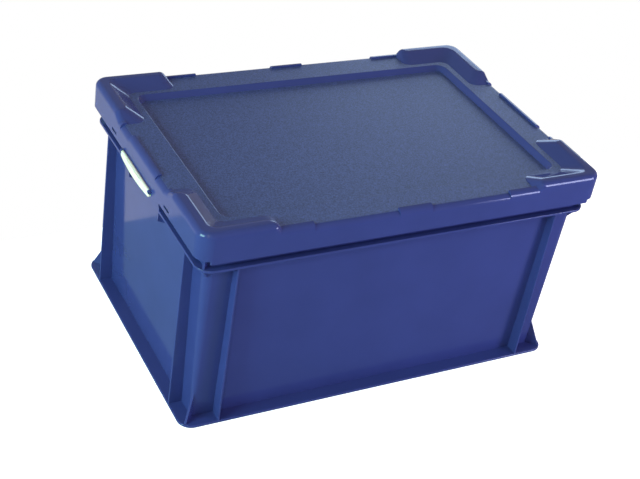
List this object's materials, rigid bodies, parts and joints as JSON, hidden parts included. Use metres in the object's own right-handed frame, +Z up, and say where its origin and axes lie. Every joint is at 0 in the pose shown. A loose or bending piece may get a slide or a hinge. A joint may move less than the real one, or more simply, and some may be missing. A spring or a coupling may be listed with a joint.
{
  "type": "specimen transport box",
  "caption": "Insulated stacking specimen transport box: flanged outer container with foam and liner, lift-off insulated lid, a swinging snap latch on each short side.",
  "frame": {"origin": "centre of the foot's underside, on the ground", "axes": "+X along the long side, +Y to the back, +Z up"},
  "size_m": [0.6236, 0.412, 0.323],
  "materials": {
    "blue_polypropylene": "satin moulded blue",
    "blue_lid_polypropylene": "semi-gloss moulded blue",
    "white_acetal": "smooth off-white",
    "white_liner": "smooth white",
    "insulation_foam": "fine closed-cell foam",
    "absorbent_fleece": "needled fleece",
    "cool_pack_shell": "pale blue blow-moulded",
    "grey_sponge_rubber": "matt sponge",
    "zinc_steel": "zinc plated"
  },
  "bodies": {
    "container": {"container_shell": "blue_polypropylene", "foam_base": "insulation_foam", "foam_front": "insulation_foam", "foam_rear": "insulation_foam", "foam_left": "insulation_foam", "foam_right": "insulation_foam", "inner_liner": "white_liner", "liner_screws": "zinc_steel", "absorbent_mat": "absorbent_fleece", "cool_pack_left": "cool_pack_shell", "cool_pack_right": "cool_pack_shell"},
    "lid": {"lid_shell": "blue_lid_polypropylene", "lid_core": "insulation_foam", "lid_liner": "white_liner", "lid_gasket": "grey_sponge_rubber", "lid_screws": "zinc_steel", "latch_pin_left": "zinc_steel", "latch_pin_right": "zinc_steel"},
    "latch_left": {"latch_left": "white_acetal"},
    "latch_right": {"latch_right": "white_acetal"}
  },
  "joints": [
    {"name": "lid_lift", "type": "slide", "parent": "container", "child": "lid", "axis": [0, 0, 1], "range_m": [0, 0.35]},
    {"name": "latch_left_swing", "type": "hinge", "parent": "lid", "child": "latch_left", "pos_m": [-0.3085, 0, 0.2833], "axis": [0, 1, 0], "range_deg": [0, 80]},
    {"name": "latch_right_swing", "type": "hinge", "parent": "lid", "child": "latch_right", "pos_m": [0.3085, 0, 0.2833], "axis": [0, -1, 0], "range_deg": [0, 80]}
  ]
}
